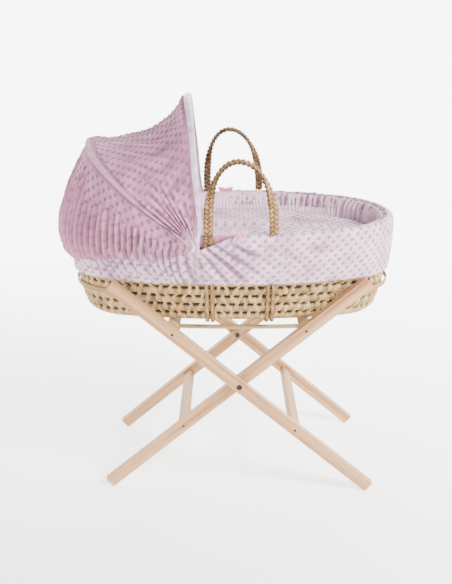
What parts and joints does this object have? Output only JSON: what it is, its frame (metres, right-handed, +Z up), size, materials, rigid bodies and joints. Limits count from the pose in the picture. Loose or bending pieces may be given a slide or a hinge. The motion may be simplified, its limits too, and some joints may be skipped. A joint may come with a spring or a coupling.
{
  "type": "moses basket",
  "caption": "Oval palm moses basket with carrying handles, padded dimple-fabric cover, folding hood and quilt, resting on a folding wooden cross-leg stand.",
  "frame": {"origin": "on the floor under the middle of the whole object's box", "axes": "+Z up, +X along the basket towards the foot end, +Y towards the rear"},
  "size_m": [0.8704, 0.519, 1.0306],
  "materials": {
    "pine": "clear satin pine",
    "palm": "dry coiled palm leaf",
    "braid": "braided palm leaf",
    "steel": "dark plated",
    "wire": "plain",
    "clip": "white moulded",
    "webbing": "cotton webbing",
    "dimple": "raised-dot plush",
    "lining": "padded cotton",
    "hem": "plush hem",
    "satin": "satin ribbon",
    "foam": "covered foam"
  },
  "bodies": {
    "outer_frame": {"outer_leg_front": "pine", "outer_leg_rear": "pine", "outer_crossbar": "pine", "outer_stretcher": "pine", "outer_frame_screws": "steel", "pivot_bolts": "steel", "pivot_nuts": "steel", "pivot_washers": "steel", "front_strap": "webbing", "rear_strap": "webbing"},
    "inner_frame": {"inner_leg_front": "pine", "inner_leg_rear": "pine", "inner_crossbar": "pine", "inner_stretcher": "pine", "inner_frame_screws": "steel"},
    "basket": {"palm_base": "palm", "palm_wall": "palm", "palm_rim": "palm", "carry_rope_left": "braid", "carry_rope_right": "braid", "head_end_handle": "palm", "foot_end_handle": "palm", "cover_skirt": "dimple", "padded_liner": "lining", "mattress": "foam", "quilt": "dimple", "front_ribbon_bow": "satin", "rear_ribbon_bow": "satin", "hood_pivot_clips": "clip", "hood_rear_panel": "dimple"},
    "rear_bow": {"hood_rear_bow": "wire", "hood_front_panel": "dimple"},
    "front_bow": {"hood_front_bow": "wire", "hood_hem": "hem"},
    "front_handle": {"front_handle": "braid"},
    "rear_handle": {"rear_handle": "braid"}
  },
  "joints": [
    {"name": "basket_lift", "type": "slide", "parent": "outer_frame", "child": "basket", "axis": [0, 0, 1], "range_m": [0, 0.72]},
    {"name": "stand_fold", "type": "hinge", "parent": "outer_frame", "child": "inner_frame", "pos_m": [0.0355, 0, 0.315], "axis": [0, -1, 0], "range_deg": [0, 90], "deforming": ["front_strap", "rear_strap"]},
    {"name": "hood_rear_fold", "type": "hinge", "parent": "basket", "child": "rear_bow", "pos_m": [-0.07, 0, 0.71], "axis": [0, -1, 0], "range_deg": [0, 28], "deforming": ["hood_rear_panel"]},
    {"name": "hood_front_fold", "type": "hinge", "parent": "rear_bow", "child": "front_bow", "pos_m": [-0.07, 0, 0.71], "axis": [0, -1, 0], "range_deg": [0, 40], "deforming": ["hood_front_panel"]},
    {"name": "front_handle_swing", "type": "hinge", "parent": "basket", "child": "front_handle", "pos_m": [0.036, -0.2445, 0.7445], "axis": [1, 0, 0], "range_deg": [-75, 75]},
    {"name": "rear_handle_swing", "type": "hinge", "parent": "basket", "child": "rear_handle", "pos_m": [0.022, 0.2445, 0.7445], "axis": [1, 0, 0], "range_deg": [-75, 75]}
  ],
  "couplings": [
    {"joint": "stand_fold", "follows": "basket_lift", "rad_per_m": 2.1817}
  ]
}
